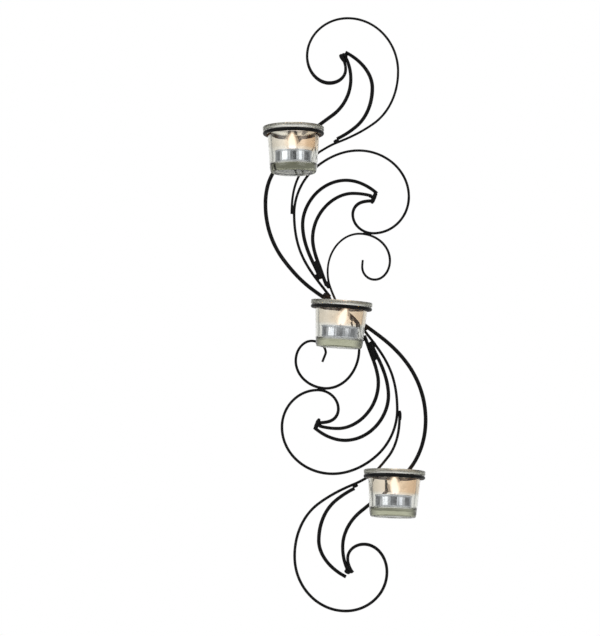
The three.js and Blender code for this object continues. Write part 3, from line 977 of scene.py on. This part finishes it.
def finish_with(name, mottle, coarse, fine):
    """A new material with its Principled shader and one uneven_coat group set for it."""
    made = bpy.data.materials.new(name)
    made.use_nodes = True
    tree = made.node_tree
    shader = next(n for n in tree.nodes if n.type == "BSDF_PRINCIPLED")
    group = node(tree, "ShaderNodeGroup")
    group.node_tree = mottle
    group.inputs["Coarse Scale"].default_value = coarse
    group.inputs["Fine Scale"].default_value = fine
    return made, tree, shader, group


def bumped(tree, shader, height, strength, distance):
    """Feeds a height through a Bump node to the shader's normal. Distance is in metres."""
    bump = node(tree, "ShaderNodeBump", Strength=strength, Distance=distance)
    tree.links.new(height, bump.inputs["Height"])
    tree.links.new(bump.outputs["Normal"], shader.inputs["Normal"])


def black_enamel(mottle):
    """Black paint with a low sheen. Near a flame it carries painted flame light: a warm brown added
    to its colour.
    """
    made, tree, shader, group = finish_with("satin_black_enamel", mottle, 70.0, 1500.0)
    colour = ramp(tree, group.outputs["Mask"],
                  [(0.0, (0.0028, 0.0028, 0.003)), (0.75, (0.0045, 0.0045, 0.0047)),
                   (1.0, (0.009, 0.0088, 0.0085))])
    # Painted flame light: warm brown added to the paint's colour near a flame.
    lit = ramp(tree, node(tree, "ShaderNodeAttribute", attribute_name="painted_light").outputs["Fac"],
               [(0.0, (0.0, 0.0, 0.0)), (0.3, (0.006, 0.0035, 0.001)),
                (1.0, (0.034, 0.015, 0.005))])
    sum_of = node(tree, "ShaderNodeMix", data_type="RGBA", blend_type="ADD")
    sum_of.inputs[0].default_value = 1.0
    tree.links.new(colour, sum_of.inputs[6])
    tree.links.new(lit, sum_of.inputs[7])
    tree.links.new(sum_of.outputs[2], shader.inputs["Base Color"])
    tree.links.new(spread(tree, group.outputs["Roughness"], 0.26, 0.5),
                   shader.inputs["Roughness"])
    shader.inputs["Specular IOR Level"].default_value = 0.13
    bumped(tree, shader, group.outputs["Height"], 0.35, 0.00012)
    return made


def clear_glass(mottle):
    """Greenish glass, with painted flame light as a warm tint of its colour near the flame, and
    roughened by `dull`. To shadow rays it is a plain tint, so that the studio's light reaches the
    candle in it."""
    made, tree, shader, group = finish_with("pressed_glass", mottle, 45.0, 500.0)
    shader.inputs["Transmission Weight"].default_value = 1.0
    shader.inputs["IOR"].default_value = 1.5
    painted_light = node(tree, "ShaderNodeAttribute", attribute_name="painted_light").outputs["Fac"]
    # Painted flame light: the glass's colour turns warm near the flame.
    painted_warm_light = ramp(tree, painted_light, [(0.0, (0.985, 0.985, 0.98)), (0.2, (0.97, 0.96, 0.94)),
                             (0.34, (0.93, 0.89, 0.83)), (0.58, (0.93, 0.79, 0.65)),
                             (1.0, (0.93, 0.72, 0.54))])
    tree.links.new(painted_warm_light, shader.inputs["Base Color"])
    polish = node(tree, "ShaderNodeMath", operation="ADD")
    tree.links.new(spread(tree, group.outputs["Roughness"], 0.0, 0.05), polish.inputs[0])
    dull = node(tree, "ShaderNodeAttribute", attribute_name="dull").outputs["Fac"]
    tree.links.new(spread(tree, dull, 0.0, 0.3), polish.inputs[1])
    tree.links.new(polish.outputs[0], shader.inputs["Roughness"])
    bumped(tree, shader, group.outputs["Mask"], 0.12, 0.0003)
    green = node(tree, "ShaderNodeVolumeAbsorption")
    green.inputs["Color"].default_value = (0.745, 0.752, 0.655, 1.0)
    green.inputs["Density"].default_value = 70.0
    output = next(n for n in tree.nodes if n.type == "OUTPUT_MATERIAL")
    tree.links.new(green.outputs["Volume"], output.inputs["Volume"])
    lamps = node(tree, "ShaderNodeLightPath")
    clear = node(tree, "ShaderNodeBsdfTransparent")
    clear.inputs["Color"].default_value = (0.86, 0.87, 0.85, 1.0)
    mix = node(tree, "ShaderNodeMixShader")
    tree.links.new(lamps.outputs["Is Shadow Ray"], mix.inputs[0])
    tree.links.new(shader.outputs["BSDF"], mix.inputs[1])
    tree.links.new(clear.outputs["BSDF"], mix.inputs[2])
    tree.links.new(mix.outputs["Shader"], output.inputs["Surface"])
    return made


def foil(mottle):
    """Bright rolled aluminium."""
    made, tree, shader, group = finish_with("drawn_aluminium_foil", mottle, 160.0, 2400.0)
    shader.inputs["Metallic"].default_value = 1.0
    colour = ramp(tree, group.outputs["Mask"],
                  [(0.0, (0.66, 0.69, 0.76)), (1.0, (0.86, 0.88, 0.94))])
    tree.links.new(colour, shader.inputs["Base Color"])
    tree.links.new(spread(tree, group.outputs["Roughness"], 0.14, 0.32),
                   shader.inputs["Roughness"])
    bumped(tree, shader, group.outputs["Height"], 0.25, 0.0001)
    return made


def candle_wax(mottle):
    """Wax that lets light in. Near the flame it looks wet and carries painted flame light: it glows
    of itself.
    """
    made, tree, shader, group = finish_with("white_candle_wax", mottle, 130.0, 900.0)
    painted_light = node(tree, "ShaderNodeAttribute", attribute_name="painted_light").outputs["Fac"]
    colour = ramp(tree, group.outputs["Mask"],
                  [(0.0, (0.84, 0.81, 0.74)), (1.0, (0.91, 0.89, 0.84))])
    tree.links.new(colour, shader.inputs["Base Color"])
    tree.links.new(spread(tree, group.outputs["Roughness"], 0.22, 0.5),
                   shader.inputs["Roughness"])
    shader.inputs["Subsurface Weight"].default_value = 0.35
    shader.inputs["Subsurface Radius"].default_value = (1.0, 0.7, 0.45)
    shader.inputs["Subsurface Scale"].default_value = 0.004
    wet = spread(tree, painted_light, 0.0, 1.0)
    tree.links.new(wet, shader.inputs["Coat Weight"])
    shader.inputs["Coat Roughness"].default_value = 0.04
    # Painted flame light: the wax glows of itself near the flame, by its emission.
    lit = ramp(tree, painted_light, [(0.0, (0.0, 0.0, 0.0)), (0.45, (0.12, 0.07, 0.03)),
                            (1.0, (1.0, 0.72, 0.38))])
    tree.links.new(lit, shader.inputs["Emission Color"])
    shader.inputs["Emission Strength"].default_value = 0.32
    bumped(tree, shader, group.outputs["Mask"], 0.25, 0.0004)
    return made


def tinplate(mottle):
    """Dull tinned steel."""
    made, tree, shader, group = finish_with("stamped_tinplate", mottle, 220.0, 3000.0)
    shader.inputs["Metallic"].default_value = 1.0
    colour = ramp(tree, group.outputs["Mask"],
                  [(0.0, (0.42, 0.42, 0.40)), (1.0, (0.62, 0.62, 0.60))])
    tree.links.new(colour, shader.inputs["Base Color"])
    tree.links.new(spread(tree, group.outputs["Roughness"], 0.3, 0.5),
                   shader.inputs["Roughness"])
    bumped(tree, shader, group.outputs["Height"], 0.3, 0.0001)
    return made


def charred_cotton(mottle):
    """Waxed cotton below, char above and a glowing end, by the share of the way along."""
    made, tree, shader, group = finish_with("charred_cotton_braid", mottle, 900.0, 5000.0)
    along = node(tree, "ShaderNodeUVMap", uv_map="skin").outputs["UV"]
    split = node(tree, "ShaderNodeSeparateXYZ")
    tree.links.new(along, split.inputs[0])
    colour = ramp(tree, split.outputs["X"],
                  [(0.0, (0.62, 0.56, 0.45)), (0.62, (0.42, 0.33, 0.2)),
                   (0.74, (0.02, 0.015, 0.012)), (1.0, (0.03, 0.022, 0.018))])
    tree.links.new(colour, shader.inputs["Base Color"])
    ember = ramp(tree, split.outputs["X"], [(0.0, (0, 0, 0)), (0.93, (0, 0, 0)),
                                            (1.0, (1.0, 0.25, 0.04))])
    tree.links.new(ember, shader.inputs["Emission Color"])
    shader.inputs["Emission Strength"].default_value = 2.0
    tree.links.new(spread(tree, group.outputs["Roughness"], 0.7, 1.0),
                   shader.inputs["Roughness"])
    bumped(tree, shader, group.outputs["Height"], 0.6, 0.0002)
    return made


def burning_gas(name, mottle, strength, colours, openness):
    """Glowing gas: its colour and how much it lets through change from foot to tip."""
    made, tree, shader, group = finish_with(name, mottle, 140.0, 600.0)
    along = node(tree, "ShaderNodeUVMap", uv_map="skin").outputs["UV"]
    split = node(tree, "ShaderNodeSeparateXYZ")
    tree.links.new(along, split.inputs[0])
    tree.links.new(ramp(tree, split.outputs["X"], colours), shader.inputs["Emission Color"])
    shader.inputs["Emission Strength"].default_value = strength
    shader.inputs["Base Color"].default_value = (0.0, 0.0, 0.0, 1.0)
    shader.inputs["Specular IOR Level"].default_value = 0.0
    tree.links.new(spread(tree, group.outputs["Roughness"], 0.9, 1.0),
                   shader.inputs["Roughness"])
    fade = ramp(tree, split.outputs["X"], [(where, (a, a, a)) for where, a in openness])
    tree.links.new(fade, shader.inputs["Alpha"])
    return made


def make_finishes():
    """Every finish of the piece, by a short name."""
    mottle = mottle_group()
    return {
        "enamel": black_enamel(mottle),
        "glass": clear_glass(mottle),
        "foil": foil(mottle),
        "wax": candle_wax(mottle),
        "tinplate": tinplate(mottle),
        "cotton": charred_cotton(mottle),
        "mantle": burning_gas(
            "flame_mantle", mottle, 1.1,
            [(0.0, (1.0, 0.88, 0.74)), (0.6, (1.0, 0.87, 0.72)), (1.0, (1.0, 0.8, 0.6))],
            [(0.0, 0.02), (0.12, 0.2), (0.6, 0.24), (1.0, 0.0)]),
        "body": burning_gas(
            "flame_body", mottle, 1.3,
            [(0.0, (1.0, 0.88, 0.76)), (0.3, (1.0, 0.91, 0.82)), (1.0, (1.0, 0.87, 0.72))],
            [(0.0, 0.05), (0.12, 0.26), (0.7, 0.3), (1.0, 0.04)]),
        "heart": burning_gas(
            "flame_heart", mottle, 1.7,
            [(0.0, (0.9, 0.8, 0.76)), (0.25, (1.0, 0.93, 0.87)), (1.0, (1.0, 0.9, 0.8))],
            [(0.0, 0.1), (0.15, 0.45), (0.7, 0.5), (1.0, 0.1)]),
        "core": burning_gas(
            "flame_core", mottle, 2.1,
            [(0.0, (0.72, 0.68, 0.7)), (0.2, (1.0, 0.94, 0.92)), (0.7, (1.0, 0.94, 0.9)),
             (1.0, (1.0, 0.9, 0.8))],
            [(0.0, 0.2), (0.15, 0.8), (0.3, 1.0), (0.8, 1.0), (1.0, 0.3)]),
    }


# ---- studio ----------------------------------------------------------------------------------
CAMERA_RISE = 6.0
CAMERA_REACH_M = 4.5
CAMERA_LENS = 260.87
CAMERA_SHIFT = (-0.07667, -0.01)
FLOOR_DROP_M = 0.55
WORLD_STRENGTH = 2.0
WORLD_HIGH = 0.85
WORLD_LOW = 0.36
SOFTBOX_SIDE_M = 1.4
SOFTBOXES = {"key_softbox": ((-1.6, -2.4, 1.9), 9), "fill_softbox": ((2.0, -1.6, 1.4), 3)}

# The light level round the horizon, as (azimuth, level).
WORLD_ROUND = [(0.0, 1.0), (0.07, 1.0), (0.14, 0.3), (0.26, 0.1), (0.33, 1.9), (0.37, 2.0),
               (0.44, 0.4), (0.5, 0.05), (0.545, 0.06), (0.6, 1.7), (0.63, 1.7), (0.70, 0.1),
               (0.80, 0.16), (0.92, 1.0), (1.0, 1.0)]


def make_camera():
    """A long lens that looks up by CAMERA_RISE degrees at the middle of the spine."""
    camera = bpy.data.cameras.new("camera")
    camera.sensor_fit = "HORIZONTAL"
    camera.sensor_width = 36.0
    camera.lens = CAMERA_LENS
    camera.shift_x, camera.shift_y = CAMERA_SHIFT
    camera.clip_end = 50.0
    made = bpy.data.objects.new("camera", camera)
    rise = math.radians(CAMERA_RISE)
    middle = SCROLL_MIDDLE * MM
    made.location = middle - CAMERA_REACH_M * np.array([0.0, math.cos(rise), math.sin(rise)])
    made.rotation_euler = (math.pi / 2 + rise, 0.0, 0.0)
    bpy.context.scene.collection.objects.link(made)
    bpy.context.scene.camera = made


def softbox(name, where, side, power, aim):
    """A square area light that faces a point."""
    lamp = bpy.data.lights.new(name, "AREA")
    lamp.shape = "SQUARE"
    lamp.size = side
    lamp.energy = power
    made = bpy.data.objects.new(name, lamp)
    made.location = where
    way = aim - np.array(where)
    flat = math.hypot(way[0], way[1])
    made.rotation_euler = (math.atan2(flat, -way[2]), 0.0, math.atan2(-way[0], way[1]))
    bpy.context.scene.collection.objects.link(made)


def make_world():
    """White to look at. What the glass, the foil and the enamel see is white behind the piece,
    pale above it and grey below; level with it in front there are two tall bright strips with a
    dark gap between them, and the sides are dark. Azimuth goes from 0 behind, leftwards round
    the front at 0.5, to 1 behind again."""
    world = bpy.data.worlds.new("studio")
    bpy.context.scene.world = world
    world.use_nodes = True
    tree = world.node_tree
    background = next(n for n in tree.nodes if n.type == "BACKGROUND")
    background.inputs["Strength"].default_value = WORLD_STRENGTH
    split = node(tree, "ShaderNodeSeparateXYZ")
    tree.links.new(node(tree, "ShaderNodeTexCoord").outputs["Generated"], split.inputs[0])
    front = node(tree, "ShaderNodeMath", operation="MULTIPLY")
    front.inputs[1].default_value = -1.0
    tree.links.new(split.outputs["Y"], front.inputs[0])
    azimuth = node(tree, "ShaderNodeMath", operation="ARCTAN2")
    tree.links.new(split.outputs["X"], azimuth.inputs[0])
    tree.links.new(front.outputs[0], azimuth.inputs[1])
    turn = node(tree, "ShaderNodeMath", operation="MULTIPLY_ADD")
    turn.inputs[1].default_value = 0.5 / math.pi
    turn.inputs[2].default_value = 0.5
    tree.links.new(azimuth.outputs[0], turn.inputs[0])
    level = ramp(tree, turn.outputs[0],
                 [(where, (v / WORLD_STRENGTH,) * 3) for where, v in WORLD_ROUND])
    rise = node(tree, "ShaderNodeMath", operation="ABSOLUTE")
    tree.links.new(split.outputs["Z"], rise.inputs[0])
    steep = node(tree, "ShaderNodeMapRange")
    steep.inputs["From Min"].default_value = 0.3
    steep.inputs["From Max"].default_value = 0.6
    tree.links.new(rise.outputs[0], steep.inputs["Value"])
    under = node(tree, "ShaderNodeMapRange")
    under.inputs["From Min"].default_value = 0.0
    under.inputs["From Max"].default_value = -0.08
    tree.links.new(split.outputs["Z"], under.inputs["Value"])
    seen = node(tree, "ShaderNodeLightPath").outputs["Is Camera Ray"]
    colour = level
    for factor, value in ((steep.outputs["Result"], WORLD_HIGH),
                          (under.outputs["Result"], WORLD_LOW), (seen, 1.0)):
        choice = node(tree, "ShaderNodeMix", data_type="RGBA")
        tree.links.new(factor, choice.inputs[0])
        tree.links.new(colour, choice.inputs[6])
        choice.inputs[7].default_value = (*[value / WORLD_STRENGTH] * 3, 1.0)
        colour = choice.outputs[2]
    tree.links.new(colour, background.inputs["Color"])


def make_floor(low):
    """A pale floor well below the piece: a gently cambered square."""
    side = np.linspace(-3.0, 3.0, 25)
    x, y = np.meshgrid(side, side, indexing="ij")
    z = low - FLOOR_DROP_M - 0.002 * (x ** 2 + y ** 2)
    points = np.stack([x, y, z], axis=-1).reshape(-1, 3)
    index = np.arange(25 * 25).reshape(25, 25)
    faces = np.stack([index[:-1, :-1], index[1:, :-1], index[1:, 1:], index[:-1, 1:]], axis=-1)
    mesh = bpy.data.meshes.new("floor")
    mesh.from_pydata(points, [], faces.reshape(-1, 4).tolist())
    pale = bpy.data.materials.new("pale_floor")
    pale.use_nodes = True
    shader = next(n for n in pale.node_tree.nodes if n.type == "BSDF_PRINCIPLED")
    shader.inputs["Base Color"].default_value = (0.86, 0.86, 0.85, 1.0)
    shader.inputs["Roughness"].default_value = 0.8
    mesh.materials.append(pale)
    floor = bpy.data.objects.new("floor", mesh)
    bpy.context.scene.collection.objects.link(floor)


make_camera()
make_world()
make_floor(cad_low[2])
for name, (where, power) in SOFTBOXES.items():
    softbox(name, where, SOFTBOX_SIDE_M, power, SCROLL_MIDDLE * MM)
bpy.context.scene.view_settings.view_transform = "Standard"

finishes = make_finishes()
make_rods(finishes["enamel"])
make_welds(finishes["enamel"])
make_cups(finishes)
make_ring_welds(finishes["enamel"])
make_tabs(finishes["enamel"])
